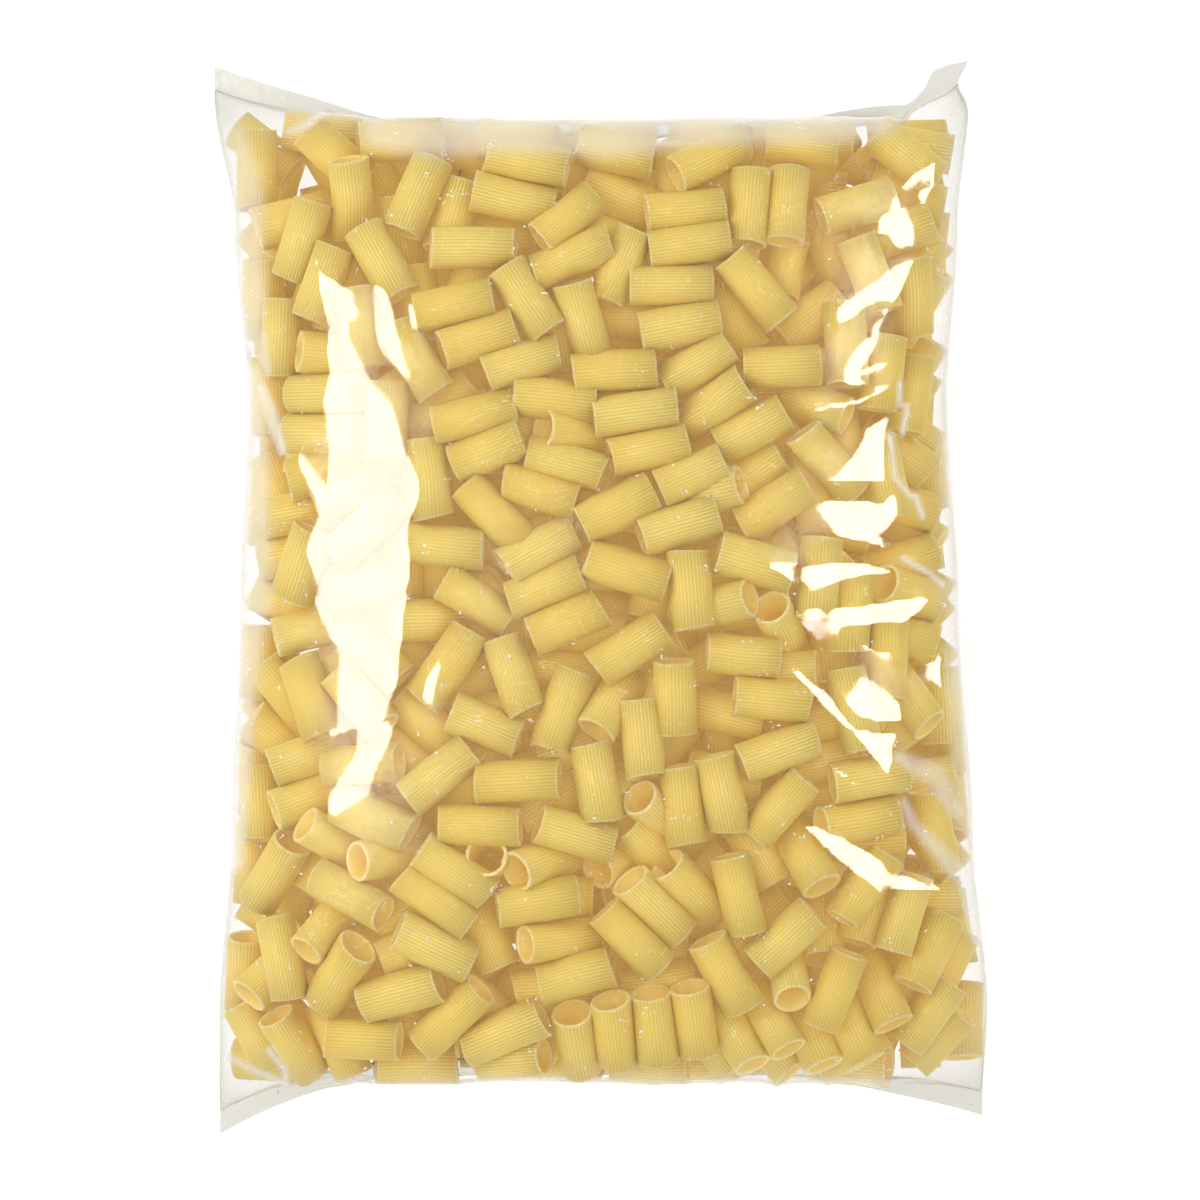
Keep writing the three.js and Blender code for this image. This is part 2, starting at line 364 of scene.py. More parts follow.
def meshFromArrays(name, points, faces, values):
    mesh = bpy.data.meshes.new(name)
    mesh.vertices.add(len(points))
    mesh.vertices.foreach_set("co", points.astype(np.float32).ravel())
    mesh.loops.add(faces.size)
    mesh.loops.foreach_set("vertex_index", faces.astype(np.int32).ravel())
    mesh.polygons.add(len(faces))
    mesh.polygons.foreach_set("loop_start", np.arange(0, faces.size, 3, dtype=np.int32))
    mesh.polygons.foreach_set("loop_total", np.full(len(faces), 3, dtype=np.int32))
    mesh.update(calc_edges=True)
    storeValues(mesh, values)
    return addObject(name, mesh)


def makePasta(field):
    rng = np.random.default_rng(heap["seed"] + 1)
    centres, axes = packTubes(field)
    print("tubes packed:", len(centres))
    master, masterFaces, inside, crest = tubeMaster()
    points = shapeTubes(master, centres, axes, rng)
    points[..., 2] = np.maximum(points[..., 2], heap["floorGap"])
    tones = rng.uniform(0, 1, len(centres))
    depths = -readField(field, points.reshape(-1, 3))[0].reshape(points.shape[:2])
    order = np.argsort(-centres[:, 2])
    pieces = []
    for name, chosen in zip(("pastaTop", "pastaMiddle", "pastaBottom"), np.array_split(order, 3)):
        offset = np.arange(len(chosen))[:, None, None] * len(master)
        pieces.append(meshFromArrays(
            name, points[chosen].reshape(-1, 3), (masterFaces[None] + offset).reshape(-1, 3), {
                "along": np.tile(2 * master[:, 2], len(chosen)),
                "inside": np.tile(inside, len(chosen)),
                "crest": np.tile(crest, len(chosen)),
                "tone": np.repeat(tones[chosen], len(master)),
                "depth": depths[chosen].ravel(),
            }))
    return pieces


field = distanceField(packetNode, heap["fieldStep"])
pasta = makePasta(field)
print("pasta made:", [len(piece.data.polygons) for piece in pasta])


# Film: the bag's own shape

bag = {
    "middleY": 0.00075,
    "halfLength": 0.181,     # middle of the bag to the root of an end seal
    "meanHalfWidth": 0.141,
    "sideHeight": 0.040,
    "crownHeight": 0.060,
    "acrossRoundness": 2.7,
    "alongRoundness": 3.4,
    "baseRoundness": 4.5,
    "baseFlattening": 1.09,
    "sagDepth": 0.0035,
    "sagWaves": (1.3, 1.7),  # half waves on each side of the middle, across and along
    "sagShift": 0.6,
    "cornerPower": 8,        # how close to the ends the empty corners stay
    "curveSteps": 800,
    "endBow": 0.004,
    "endLift": 0.005,
    "sealWidth": 0.009,
    "sealDroop": math.radians(55),
    "sealDroopEnds": (0.5, 0.85),
    # place along the bag from -1 to 1, then the left and the right side's distance from the middle
    "sides": [(-1.0, 0.150, 0.1505), (-0.85, 0.149, 0.1515), (-0.5, 0.144, 0.1455),
              (0.0, 0.1405, 0.140), (0.42, 0.1375, 0.1355), (0.75, 0.1425, 0.1395),
              (1.0, 0.1515, 0.1445)],
    # empty corners: how far they reach, where they start, rise, lobe and height of the tip
    "ears": {
        "lowerLeft": (0.0175, 0.7, 1.4, 0, 0.017),
        "lowerRight": (0.0095, 0.66, 1.4, 0, 0.024),
        "upperLeft": (0.015, 0.58, 1.4, 0, 0.027),
        "upperRight": (0.016, 0.83, 0.5, 0.008, 0.040),
    },
    "neck": {"x": 0.137, "y": 0.201, "halfLength": 0.0065, "halfWidth": 0.022, "pull": 0.62},
}

film = {
    "columns": 252,
    "rows": 320,
    "sealRows": 8,
    "reach": 0.012,          # how far out the search for pasta under the film starts
    "depth": 0.03,
    "clearance": 0.0003,
    "slack": 0.000001,       # how much it sinks between two tubes at each smoothing step
    "smoothing": 1500,
    "floorGap": 0.0002,
    "facetRounds": 300,
    "facetStride": 1.8,      # how far each round moves a point, of what it needs
    "facetSink": 0.004,      # how far it may sink below where the bag's own shape is
    "slackPull": 0.03,       # how stiffly the film round a facet keeps its own slope
    "restPull": 0.0002,      # how strongly it goes back to where it lay
}


def superellipse(place, roundness):
    return np.maximum(0, 1 - np.abs(place) ** roundness) ** (1 / roundness)


def evenPlaces(halfSpan, roundness, steps):
    # places from -1 to 1, evenly spaced over the crown's curve
    turn = np.linspace(0, math.pi / 2, bag["curveSteps"])
    x = np.sin(turn) ** (2 / roundness)
    height = bag["crownHeight"] * np.cos(turn).clip(0) ** (2 / roundness)
    travelled = np.concatenate([[0], np.cumsum(np.hypot(np.diff(x * halfSpan), np.diff(height)))])
    half = np.interp(np.linspace(0, travelled[-1], steps // 2 + 1), travelled, x)
    return np.concatenate([-half[:0:-1], half])


def sideDistance(along, column):
    places, widths = (np.array([row[k] for row in bag["sides"]]) for k in (0, column))
    after = np.clip(np.searchsorted(places, along), 1, len(places) - 1)
    share = smoothStep(along, places[after - 1], places[after])
    return widths[after - 1] + share * (widths[after] - widths[after - 1])


def earValues(across, along):
    ears = bag["ears"]
    lower = np.where((across < 0)[..., None], ears["lowerLeft"], ears["lowerRight"])
    upper = np.where((across < 0)[..., None], ears["upperLeft"], ears["upperRight"])
    return np.moveaxis(np.where((along < 0)[..., None], lower, upper), -1, 0)


def bagSurface(across, along, past, side):
    # across and along go from -1 to 1, past goes from 0 to 1 over a seal, side is 1 or -1
    reach, start, rise, lobe, tipHeight = earValues(across, along)
    share = np.clip((np.abs(across) - start) / (1 - start), 0, 1)
    end = np.sign(along)
    x = across * np.where(across < 0, sideDistance(along, 1), sideDistance(along, 2))
    swing = bag["endBow"] * across ** 2 + reach * share ** rise
    y = along * bag["halfLength"] + end * swing * np.abs(along) ** 3
    middle = bag["sideHeight"] + bag["endLift"] * along ** 4 * (1 - across ** 2)
    middle = middle + (tipHeight - middle) * share * np.abs(along) ** bag["cornerPower"]
    crown = (superellipse(across, bag["acrossRoundness"])
             * superellipse(along, bag["alongRoundness"]))
    waveAcross, waveAlong = bag["sagWaves"]
    sag = np.sin(waveAcross * math.pi * across + bag["sagShift"]) * np.cos(waveAlong * math.pi * along)
    base = np.minimum(1, bag["baseFlattening"] * superellipse(across, bag["baseRoundness"])
                      * superellipse(along, bag["baseRoundness"]))
    up = middle + bag["crownHeight"] * crown + bag["sagDepth"] * sag * crown ** 2
    z = np.where(side > 0, up, middle * (1 - base))
    droop = bag["sealDroop"] * (1 - smoothStep(np.abs(across), *bag["sealDroopEnds"]))
    width = bag["sealWidth"] * past
    x = x - np.sign(across) * lobe * np.sin(math.pi * share) * past
    y = y + end * width * np.cos(droop)
    z = z - width * np.sin(droop)
    neck = bag["neck"]
    near = (np.exp(-((y - neck["y"]) / neck["halfLength"]) ** 2)
            * np.exp(-((x - neck["x"]) / neck["halfWidth"]) ** 4))
    x = x + (neck["x"] - x) * neck["pull"] * near
    return np.stack([x, y + bag["middleY"], z], axis=-1)


def filmGrid(columns, rows, sealRows):
    across = evenPlaces(bag["meanHalfWidth"], bag["acrossRoundness"], columns)
    along = evenPlaces(bag["halfLength"], bag["alongRoundness"], rows - 2 * sealRows)
    past = np.linspace(0, 1, sealRows + 1)[1:]
    along = np.concatenate([-np.ones(sealRows), along, np.ones(sealRows)])
    past = np.concatenate([past[::-1], np.zeros(rows - 2 * sealRows + 1), past])
    return *np.meshgrid(across, along), np.meshgrid(across, past)[1]


def outwardNormals(points, side):
    normals = np.cross(np.gradient(points, axis=1), np.gradient(points, axis=0)) * side
    return normals / np.maximum(np.linalg.norm(normals, axis=-1, keepdims=True), 1e-12)


def pastaUnder(points, normals, trees):
    # how far the pasta reaches above each point of the film, along its normal
    reach, depth = film["reach"], film["depth"]
    lift = np.full(points.shape[:2], -depth)
    for place in np.ndindex(*lift.shape):
        normal = Vector(normals[place])
        start = Vector(points[place]) + reach * normal
        for tree in trees:
            distance = tree.ray_cast(start, -normal, reach + depth)[3]
            if distance is not None:
                lift[place] = max(lift[place], reach - distance)
    return lift


def stretchOver(lift):
    # a taut sheet that rests on what lies under it and sinks a little in between
    offset = np.maximum(lift, 0)
    offset[0], offset[-1], offset[:, 0], offset[:, -1] = 0, 0, 0, 0
    for _ in range(film["smoothing"]):
        mean = (offset[:-2, 1:-1] + offset[2:, 1:-1] + offset[1:-1, :-2] + offset[1:-1, 2:]) / 4
        offset[1:-1, 1:-1] = np.maximum(mean - film["slack"], lift[1:-1, 1:-1])
    return offset


# Bright cards that only the film mirrors, and the flat facets of the film that lean towards them.
# Outlines are seen from above, in millimetres from the bag's middle.

glare = {
    "viewHeight": 2.2,
    "cardDistance": 1.3,
    "cards": {
        "glareLeft": {
            "lean": (-17, 1),        # degrees that film leans towards +X and +Y where it mirrors the card
            "spread": (5, 4.5),      # how far the card reaches to each side of that
            "strength": 21.0,
            "facets": [
                [(-111, 138), (-104, 125), (-95, 118), (-92, 108), (-96, 106), (-96, 101), (-87, 83),
                 (-79, 74), (-74, 57), (-68, 46), (-68, 38), (-73, 27), (-71, 14), (-74, -10), (-76, -32),
                 (-83, -46), (-77, -49), (-86, -65), (-88, -74), (-104, -84), (-105, -77), (-92, -57),
                 (-93, -49), (-109, -54), (-101, -49), (-99, -21), (-110, -1), (-107, 3), (-114, 19),
                 (-107, 33), (-116, 50), (-118, 61), (-104, 43), (-104, 66), (-107, 75), (-104, 87),
                 (-105, 98), (-104, 104), (-109, 122)],
                [(-86, 122), (-81, 119), (-78, 110), (-75, 93), (-71, 82), (-80, 90), (-84, 95),
                 (-85, 106)],
                [(-75, 119), (-69, 110), (-70, 101), (-73, 104)],
                [(-57, -19), (-62, -32), (-63, -40), (-69, -37), (-67, -30)],
            ],
        },
        "glareRight": {
            "lean": (20, 10),
            "spread": (5, 4.5),
            "strength": 23.0,
            "facets": [
                [(134, 182), (130, 173), (130, 160), (127, 156), (124, 150), (121, 156), (127, 159),
                 (127, 162), (122, 161), (116, 156), (116, 152), (120, 146), (122, 140), (120, 135),
                 (112, 135), (111, 141), (105, 138), (106, 145), (111, 149), (114, 157), (120, 164),
                 (128, 169)],
                [(123, 133), (120, 127), (116, 118), (107, 105), (106, 98), (103, 98), (104, 105),
                 (112, 115), (107, 115), (100, 111), (94, 106), (91, 105), (89, 110), (97, 116),
                 (107, 123), (114, 129)],
                [(103, 101), (106, 98), (101, 90), (98, 86), (103, 83), (113, 82), (112, 80), (100, 74),
                 (89, 72), (74, 69), (89, 75), (99, 78), (104, 80), (94, 81), (93, 87), (96, 94)],
                [(98, 87), (105, 90), (112, 91), (112, 89), (105, 87), (98, 85)],
                [(113, 81), (112, 71), (109, 62), (109, 57), (110, 44), (85, 44), (91, 48), (96, 54),
                 (100, 62), (101, 67), (107, 70), (111, 76)],
                [(110, 43), (114, 38), (115, 33), (113, 29), (107, 25), (109, 21), (115, 15), (105, 20),
                 (90, 23), (87, 29), (82, 36), (87, 40), (103, 39), (109, 38)],
                [(63, 14), (79, 14), (97, 16), (107, 14), (116, 10), (110, 9), (100, 8), (91, 6), (83, 3),
                 (76, -2), (85, -2), (100, -1), (120, 2), (129, 1), (125, -4), (116, -10), (93, -11),
                 (92, -21), (94, -25), (104, -31), (116, -40), (117, -47), (108, -48), (97, -46), (93, -40),
                 (93, -30), (87, -22), (79, -15), (72, -6), (72, -1), (75, 3), (69, 9), (63, 11)],
                [(71, -22), (79, -28), (88, -36), (96, -46), (104, -49), (114, -50), (112, -57), (112, -64),
                 (111, -70), (107, -66), (103, -61), (96, -52), (86, -43), (79, -35), (71, -26)],
                [(93, -11), (97, -14), (107, -18), (113, -19), (120, -23), (128, -22), (132, -19),
                 (132, -36), (128, -33), (124, -30), (119, -28), (115, -24), (108, -22), (100, -18)],
                [(88, -61), (94, -65), (99, -70), (103, -75), (96, -72), (88, -65)],
                [(72, -85), (83, -85), (91, -88), (103, -95), (114, -102), (122, -107), (133, -110),
                 (132, -113), (124, -113), (114, -112), (107, -114), (100, -108), (91, -101), (83, -94),
                 (77, -88)],
                [(109, -114), (112, -114), (116, -122), (122, -128), (128, -136), (130, -143), (125, -144),
                 (127, -139), (120, -132), (114, -124)],
            ],
        },
    },
}


def mirrored(slopeX, slopeY):
    # the way in which film of these slopes sends what comes straight down
    normal = Vector((math.tan(math.radians(slopeX)), math.tan(math.radians(slopeY)), 1)).normalized()
    return 2 * normal.z * normal - Vector((0, 0, 1))


def insideOutline(points, outline):
    inside = np.zeros(points.shape[:2], dtype=bool)
    corners = np.array(outline) / 1000
    for (startX, startY), (endX, endY) in zip(corners, np.roll(corners, -1, axis=0)):
        if startY != endY:
            crosses = (startY > points[..., 1]) != (endY > points[..., 1])
            share = (points[..., 1] - startY) / (endY - startY)
            inside ^= crosses & (points[..., 0] < startX + share * (endX - startX))
    return inside


def facetSlopes(points, card):
    # rise along X and Y of film that mirrors the card's middle to the viewer
    toViewer = np.array((0, 0, glare["viewHeight"])) - points
    toCard = glare["cardDistance"] * np.array(mirrored(*card["lean"])) - points
    normal = (toViewer / np.linalg.norm(toViewer, axis=-1, keepdims=True)
              + toCard / np.linalg.norm(toCard, axis=-1, keepdims=True))
    return -normal[..., :2] / normal[..., 2:]


def layFacets(points, lowest, free):
    # heights to add, and which points lie in a facet: the film takes a facet's slope inside its outline
    # and eases back round it
    inside, slopes = np.zeros(points.shape[:2], dtype=bool), np.zeros((*points.shape[:2], 2))
    for card in glare["cards"].values():
        within = np.any([insideOutline(points, outline) for outline in card["facets"]], axis=0)
        slopes[within] = facetSlopes(points, card)[within]
        inside |= within
    pulls, rises = [], []
    for axis in (0, 1):
        steps = np.diff(points, axis=axis)
        near, far = (np.take(inside, places, axis) for places in (
            np.arange(inside.shape[axis] - 1), np.arange(1, inside.shape[axis])))
        slope = np.take(slopes, np.arange(1, inside.shape[axis]), axis)
        pulls.append(np.where(near & far, 1.0, film["slackPull"]))
        rises.append(np.where(near & far, (slope * steps[..., :2]).sum(-1) - steps[..., 2], 0))
    total = np.full(inside.shape, film["restPull"])
    total[1:] += pulls[0]
    total[:-1] += pulls[0]
    total[:, 1:] += pulls[1]
    total[:, :-1] += pulls[1]
    height = np.zeros(inside.shape)
    checker = np.indices(inside.shape).sum(0) % 2
    for turn in range(2 * film["facetRounds"]):
        wanted = np.zeros(inside.shape)
        wanted[1:] += pulls[0] * (height[:-1] + rises[0])
        wanted[:-1] += pulls[0] * (height[1:] - rises[0])
        wanted[:, 1:] += pulls[1] * (height[:, :-1] + rises[1])
        wanted[:, :-1] += pulls[1] * (height[:, 1:] - rises[1])
        moved = np.maximum(height + film["facetStride"] * (wanted / total - height), lowest)
        height = np.where(free & (checker == turn % 2), moved, height)
    return height, inside


# Painted sheen: pale streaks where the film is creased and along its edges, partly its own milkiness and
# partly painted sheen of the light it sends back: strength, then X, Y and half width along each, in
# millimetres

paintedSheenStrokes = {
    "fade": (0.5, 2),        # of the half width, where they start to thin and where they end
    "edge": 0.0012,          # how much further they end, in metres
    "strokes": [
        (0.30, [(-146, 189, 2.5), (-138, 169, 3.5), (-136, 151, 4.7), (-137, 136, 4.7), (-134, 116, 4),
                (-135, 101, 2.7)]),
        (0.30, [(-132, 101, 2.4), (-128, 88, 1)]),
        (0.30, [(-135, 87, 3), (-134, 70, 3.5), (-133, 50, 3.9), (-133, 27, 4.3), (-133, 0, 4.7),
                (-136, -16, 4.7), (-138, -39, 3.5), (-139, -70, 2.7), (-141, -101, 2.3)]),
        (0.45, [(-131, 82, 1.2), (-127, 72, 1.8), (-122, 57, 0.8)]),
        (0.36, [(-85, 180, 4.7), (-66, 178, 5.8), (-39, 179, 5.4), (-15, 178, 4.7), (0, 178, 6.2),
                (16, 178, 4.7), (39, 180, 3.9), (62, 182, 4.7), (89, 183, 5.4), (109, 185, 3.9)]),
        (0.45, [(-106, 190, 0.8), (-113, 184, 1.2), (-120, 181, 0.8)]),
        (0.13, [(138, 191, 2.5), (137, 161, 3.5), (136, 120, 3.1), (134, 90, 2.3), (134, 60, 2.7),
                (135, 30, 2.3), (137, 0, 2.3), (138, -46, 2.3), (141, -72, 3), (144, -109, 2)]),
        (0.30, [(114, -60, 1.5), (128, -67, 3), (138, -82, 2)]),
        (0.35, [(116, -77, 0.8), (120, -86, 1.2), (132, -98, 2), (141, -109, 2), (146, -131, 1.5)]),
        (0.55, [(115, 83, 0.4), (115, 75, 0.4), (118, 74, 0.4), (116, 64, 0.4)]),
        (0.55, [(111, 63, 0.4), (113, 47, 0.4), (119, 40, 0.4), (121, 40, 0.4), (124, 32, 0.4)]),
        (0.55, [(116, 16, 0.4), (127, 10, 0.4), (132, 6, 0.4)]),
        (0.55, [(-145, -178, 0.6), (-134, -183, 0.6), (-122, -188, 0.6)]),
        (0.55, [(-128, -174, 0.6), (-122, -182, 0.6), (-122, -189, 0.6)]),
    ],
}


def paintedSheenShares(points):
    # share of painted sheen at each point of the film
    share = np.zeros(points.shape[:2])
    fadeFrom, fadeTo = paintedSheenStrokes["fade"]
    for strength, path in paintedSheenStrokes["strokes"]:
        rows = np.array(path) / 1000
        for start, end in zip(rows[:-1], rows[1:]):
            along = end[:2] - start[:2]
            place = np.clip((points[..., :2] - start[:2]) @ along / (along @ along), 0, 1)
            distance = np.linalg.norm(points[..., :2] - start[:2] - place[..., None] * along, axis=-1)
            width = start[2] + place * (end[2] - start[2])
            near = 1 - smoothStep(distance, fadeFrom * width, fadeTo * width + paintedSheenStrokes["edge"])
            share = np.maximum(share, strength * near)
    return share


def gridPiece(name, points, values, side):
    rows, columns = points.shape[0] - 1, points.shape[1] - 1
    bm = bmesh.new()
    bmesh.ops.create_grid(bm, x_segments=columns, y_segments=rows, size=1)
    if side < 0:
        bmesh.ops.reverse_faces(bm, faces=bm.faces)
    mesh = meshFrom(name, bm)
    # the operator may number its points in any order, so each one's column and row come from its place
    corners = np.zeros(3 * len(mesh.vertices))
    mesh.vertices.foreach_get("co", corners)
    place = np.rint((corners.reshape(-1, 3)[:, :2] + 1) / 2 * (columns, rows)).astype(int)
    column, row = place.T
    mesh.vertices.foreach_set("co", points[row, column].astype(np.float32).ravel())
    mesh.polygons.foreach_set("use_smooth", np.ones(len(mesh.polygons), dtype=bool))
    storeValues(mesh, {key: numbers[row, column] for key, numbers in values.items()})
    mesh.update()
    return addObject(name, mesh)


def makeFilm(name, side, columns, rows, sealRows, trees):
    across, along, past = filmGrid(columns, rows, sealRows)
    base = bagSurface(across, along, past, side)
    normals = outwardNormals(base, side)
    lift = pastaUnder(base, normals, trees) + film["clearance"]
    lift = np.where(past > 0, -film["depth"], lift)
    offset = stretchOver(lift)
    points = base + normals * offset[..., None]
    flat = np.zeros(lift.shape)
    if side > 0:
        lowest = (np.maximum(lift, -film["facetSink"]) - offset) * normals[..., 2]
        height, flat = layFacets(points, lowest, past == 0)
        points[..., 2] += height
    points[..., 2] = np.maximum(points[..., 2], film["floorGap"])
    start = earValues(across, along)[1]
    ear = np.clip((np.abs(across) - start) / (1 - start), 0, 1) * np.abs(along) ** bag["cornerPower"]
    return gridPiece(name, points, {
        "empty": np.maximum(ear, past > 0),
        "paintedSheen": paintedSheenShares(points) * (side > 0),
        "flat": flat,
    }, side)


trees = [BVHTree.FromObject(piece, bpy.context.evaluated_depsgraph_get()) for piece in pasta]
filmFront = makeFilm("filmFront", 1, film["columns"], film["rows"], film["sealRows"], trees)
print("front film made:", len(filmFront.data.polygons))
filmBack = makeFilm(
    "filmBack", -1, film["columns"] // 2, film["rows"] // 2, film["sealRows"] // 2, trees)
print("back film made:", len(filmBack.data.polygons))


# Materials

def newMaterial(name):
    material = bpy.data.materials.new(name)
    material.use_nodes = True
    material.cycles.emission_sampling = "NONE"
    tree = material.node_tree
    tree.nodes.clear()
    return material, tree


def addNode(tree, kind, inputs=None, **settings):
    node = tree.nodes.new(kind)
    for key, value in settings.items():
        setattr(node, key, value)
    for key, value in (inputs or {}).items():
        if isinstance(value, bpy.types.NodeSocket):
            tree.links.new(value, node.inputs[key])
        else:
            node.inputs[key].default_value = value
    return node


def attribute(tree, name):
    return addNode(tree, "ShaderNodeAttribute", attribute_name=name).outputs["Fac"]


def noise(tree, place, scale, detail=0, roughness=0.5):
    return addNode(tree, "ShaderNodeTexNoise", {
        "Vector": place, "Scale": scale, "Detail": detail, "Roughness": roughness}).outputs["Fac"]


def calculate(tree, operation, first, second, **settings):
    return addNode(
        tree, "ShaderNodeMath", {0: first, 1: second}, operation=operation, **settings).outputs[0]


def mixColour(tree, factor, first, second):
    node = addNode(tree, "ShaderNodeMix", data_type="RGBA")
    for socket, value in ((node.inputs[0], factor), (node.inputs[6], first), (node.inputs[7], second)):
        if isinstance(value, bpy.types.NodeSocket):
            tree.links.new(value, socket)
        else:
            socket.default_value = value
    return node.outputs[2]


def mapRange(tree, value, low, high, toLow=0.0, toHigh=1.0):
    return addNode(tree, "ShaderNodeMapRange", {
        "Value": value, "From Min": low, "From Max": high, "To Min": toLow, "To Max": toHigh,
    }, interpolation_type="SMOOTHSTEP").outputs["Result"]


pastaLook = {
    "pale": (0.88, 0.695, 0.17, 1),
    "deep": (0.85, 0.625, 0.11, 1),
    "dust": (0.94, 0.84, 0.52, 1),
    "bore": (0.84, 0.60, 0.13, 1),
    # painted shade: a darker colour for the grooves between the ribs
    "grooveShade": (0.76, 0.50, 0.08, 1),
    "grooveShadeShare": 0.9,           # how much of the painted groove shade shows between the ribs
    "mottleScale": 90,
    "grainScale": 1400,
    "grainDust": (0.3, 0.6), # the range of the grain over which the dust thickens
    "rimFrom": 0.93,         # of half the length, where the dusty rim starts
    "rimDust": 0.7,
    "paintedGlow": (0.13, 0.09, 0.02, 1),   # painted glow: emission that stands in for light bounced from tube to tube, down in the gaps
    "paintedGlowDepth": (0.004, 0.018),     # depth under the bag's wall where the painted glow starts and where it is full
    # painted glow inside the bores
    "paintedBoreGlow": 0.7,
    "roughness": 0.55,
}


def pastaMaterial():
    look = pastaLook
    material, tree = newMaterial("driedPasta")
    place = addNode(tree, "ShaderNodeTexCoord").outputs["Object"]
    inside, depth = attribute(tree, "inside"), attribute(tree, "depth")
    mottle = noise(tree, place, look["mottleScale"], 1, 0.55)
    grain = noise(tree, place, look["grainScale"])
    blend = calculate(tree, "ADD", attribute(tree, "tone"), mottle)
    colour = mixColour(tree, mapRange(tree, blend, 0.5, 1.5), look["deep"], look["pale"])
    # painted shade in the grooves, none on the crests of the ribs
    grooveShadeShare = mapRange(tree, attribute(tree, "crest"), 0.0, 1.0, look["grooveShadeShare"], 0)
    colour = mixColour(tree, grooveShadeShare, colour, look["grooveShade"])
    colour = mixColour(tree, mapRange(tree, inside, 0.7, 1.0), colour, look["bore"])
    fromMiddle = calculate(tree, "ABSOLUTE", attribute(tree, "along"), 0)
    rim = mapRange(tree, fromMiddle, look["rimFrom"], 1.0, 0, look["rimDust"])
    dusty = calculate(tree, "MULTIPLY", rim, mapRange(tree, grain, *look["grainDust"]))
    colour = mixColour(tree, dusty, colour, look["dust"])
    # painted glow: warm emission, full down in the gaps and partly inside the bores, in place of bounced
    # light
    paintedBoreGlow = calculate(tree, "MULTIPLY", inside, look["paintedBoreGlow"])
    paintedGlowShare = calculate(tree, "MAXIMUM", mapRange(tree, depth, *look["paintedGlowDepth"]), paintedBoreGlow)
    shader = addNode(tree, "ShaderNodeBsdfPrincipled", {
        "Base Color": colour, "Roughness": look["roughness"],
        "Emission Color": mixColour(tree, paintedGlowShare, (0, 0, 0, 1), look["paintedGlow"]), "Emission Strength": 1.0})
    addNode(tree, "ShaderNodeOutputMaterial", {"Surface": shader.outputs[0]})
    return material


filmLook = {
    "colour": (0.90, 0.90, 0.87, 1),
    "roughness": 0.07,
    "creasedRoughness": 0.4, # outside the flat facets, where fine creases blur what it mirrors
    "rippleScale": 160,
    "rippleStrength": 0.12,
    "rippleHeight": 0.0003,
    "mirror": 0.75,          # the rest of what the film sends back is a milky haze
    "facing": 0.05,          # share sent back where it is seen straight on
    "edgePower": 4.0,
    "emptyGreyShade": (0.47, 0.45, 0.32, 1),    # painted grey shade on the seals and corners, where film lies on film
    "emptyHaze": 0.24,
    "paintedSparkle": 0.9,          # painted sparkles: tiny milky dots, in clusters, in place of the glints of fine creases
    "dotScale": 1100,
    "dotRange": (0.67, 0.72),        # the highest dots of the noise become painted sparkles
    "clusterRange": (0.62, 0.67),    # where the ripple is high, there are clusters of them
}


def filmMaterial():
    look = filmLook
    material, tree = newMaterial("clearFilm")
    place = addNode(tree, "ShaderNodeTexCoord").outputs["Object"]
    ripple = noise(tree, place, look["rippleScale"], 2, 0.6)
    bump = addNode(tree, "ShaderNodeBump", {
        "Height": ripple, "Strength": look["rippleStrength"], "Distance": look["rippleHeight"],
    }).outputs["Normal"]
    empty, paintedSheen, flat = (attribute(tree, name) for name in ("empty", "paintedSheen", "flat"))
    facing = addNode(tree, "ShaderNodeLayerWeight", {"Blend": 0.5, "Normal": bump}).outputs["Facing"]
    edge = calculate(tree, "POWER", facing, look["edgePower"])
    sent = addNode(tree, "ShaderNodeMapRange", {
        "Value": edge, "To Min": look["facing"], "To Max": 1.0}).outputs["Result"]
    # painted sparkles: the film turns milky at clustered dots, standing in for glints
    dots = noise(tree, place, look["dotScale"])
    paintedSparkle = calculate(tree, "MULTIPLY", mapRange(tree, dots, *look["dotRange"]),
                        mapRange(tree, ripple, *look["clusterRange"], 0, look["paintedSparkle"]))
    # painted sheen from the streaks and painted sparkles join the milky haze of the seals and corners
    hazeAndPaintedSheen = calculate(tree, "ADD", mapRange(tree, empty, 0.0, 1.0, 0, look["emptyHaze"]), paintedSheen)
    hazeAndPaintedSheen = calculate(tree, "ADD", hazeAndPaintedSheen, paintedSparkle)
    share = calculate(tree, "ADD", sent, hazeAndPaintedSheen, use_clamp=True)
    metallic = calculate(tree, "MULTIPLY", calculate(tree, "DIVIDE", sent, share), look["mirror"])
    shader = addNode(tree, "ShaderNodeBsdfPrincipled", {
        # painted grey shade on the seals and corners
        "Base Color": mixColour(tree, empty, look["colour"], look["emptyGreyShade"]),
        "Metallic": metallic,
        "Roughness": mapRange(tree, flat, 0.0, 1.0, look["creasedRoughness"], look["roughness"]),
        "Normal": bump, "Alpha": share})
    addNode(tree, "ShaderNodeOutputMaterial", {"Surface": shader.outputs[0]})
    return material


driedPasta = pastaMaterial()
clearFilm = filmMaterial()
for piece in pasta:
    piece.data.materials.append(driedPasta)
    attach(piece, "root")
for piece in (filmFront, filmBack):
    piece.visible_shadow = False      # light falls through it unchanged
    piece.visible_diffuse = False
    piece.data.materials.append(clearFilm)
    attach(piece, "root")
for piece in (*pasta, filmFront, filmBack):
    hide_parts("packet")


# Floor, lights and camera

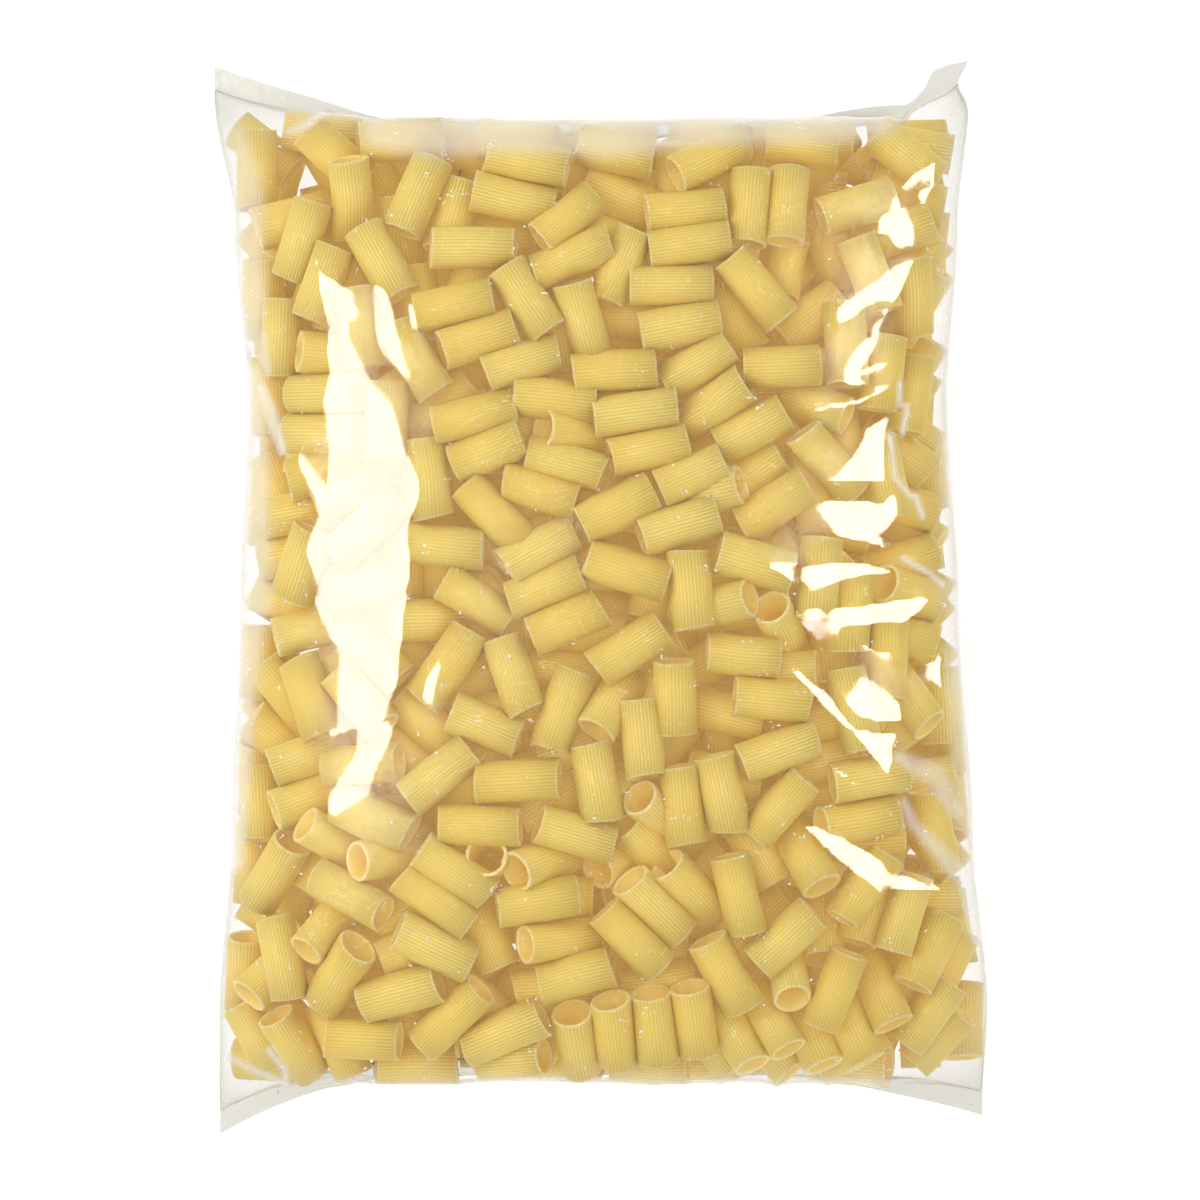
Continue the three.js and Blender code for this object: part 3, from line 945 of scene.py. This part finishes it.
studio = {
    "imageSide": 0.468,      # width of the view at the bag's outline
    "outlineHeight": 0.045,
    "worldStrength": 0.88,
    "floorHalfSide": 3,
    "floorColour": (0.2, 0.2, 0.2, 1),
    "floorGlow": 0.85,       # keeps the floor white, with only a faint shadow on it
    # place, what it points at, side and power
    "lights": {
        "overhead": ((0, 0, 2.6), (0, 0, 0), 1.2, 4.0),
        "left": ((-1.0, 0.3, 0.8), (0, 0, 0.05), 1.0, 4.0),
    },
}


def floorMaterial():
    material, tree = newMaterial("paleFloor")
    shader = addNode(tree, "ShaderNodeBsdfPrincipled", {
        "Base Color": studio["floorColour"], "Roughness": 0.9,
        "Emission Color": (1, 1, 1, 1), "Emission Strength": studio["floorGlow"]})
    addNode(tree, "ShaderNodeOutputMaterial", {"Surface": shader.outputs[0]})
    return material


def makeFloor():
    bm = bmesh.new()
    bmesh.ops.create_grid(bm, x_segments=1, y_segments=1, size=studio["floorHalfSide"])
    floor = addObject("floor", meshFrom("floor", bm))
    floor.data.materials.append(floorMaterial())


def areaLight(name, place, target, side, power):
    data = bpy.data.lights.new(name, "AREA")
    data.shape, data.size, data.energy = "SQUARE", side, power
    light = addObject(name, data)
    light.location = place
    light.rotation_mode = "QUATERNION"
    light.rotation_quaternion = (Vector(target) - Vector(place)).to_track_quat("-Z", "Y")
    light.visible_glossy = False      # the film mirrors only the cards


def glareCard(name, card):
    bm = bmesh.new()
    (leanX, leanY), (spreadX, spreadY) = card["lean"], card["spread"]
    corners = bmesh.ops.create_circle(bm, cap_ends=True, segments=24, radius=1)["verts"]
    for corner in corners:
        corner.co = glare["cardDistance"] * mirrored(
            leanX + spreadX * corner.co.x, leanY + spreadY * corner.co.y)
    material, tree = newMaterial(name)
    shader = addNode(tree, "ShaderNodeEmission", {"Strength": card["strength"]})
    addNode(tree, "ShaderNodeOutputMaterial", {"Surface": shader.outputs[0]})
    piece = addObject(name, meshFrom(name, bm))
    piece.data.materials.append(material)
    piece.visible_camera = piece.visible_diffuse = False
    piece.visible_transmission = piece.visible_shadow = False


def makeLights():
    world = bpy.data.worlds.new("studio")
    world.use_nodes = True
    tree = world.node_tree
    seen = addNode(tree, "ShaderNodeLightPath").outputs["Is Camera Ray"]
    strength = addNode(tree, "ShaderNodeMapRange", {
        "Value": seen, "To Min": studio["worldStrength"], "To Max": 1.0}).outputs["Result"]
    background = tree.nodes["Background"]
    background.inputs["Color"].default_value = (1, 1, 1, 1)
    tree.links.new(strength, background.inputs["Strength"])
    bpy.context.scene.world = world
    for name, values in studio["lights"].items():
        areaLight(name, *values)
    for name, card in glare["cards"].items():
        glareCard(name, card)


def makeCamera():
    data = bpy.data.cameras.new("camera")
    data.lens = data.sensor_width * (glare["viewHeight"] - studio["outlineHeight"]) / studio["imageSide"]
    camera = addObject("camera", data)
    camera.location = (0, 0, glare["viewHeight"])
    bpy.context.scene.camera = camera


makeFloor()
makeLights()
makeCamera()
bpy.context.scene.view_settings.view_transform = "Standard"
cycles = bpy.context.scene.cycles
cycles.max_bounces, cycles.diffuse_bounces, cycles.glossy_bounces = 5, 3, 1
cycles.adaptive_threshold, cycles.adaptive_min_samples = 0.05, 8

print("scene ready")
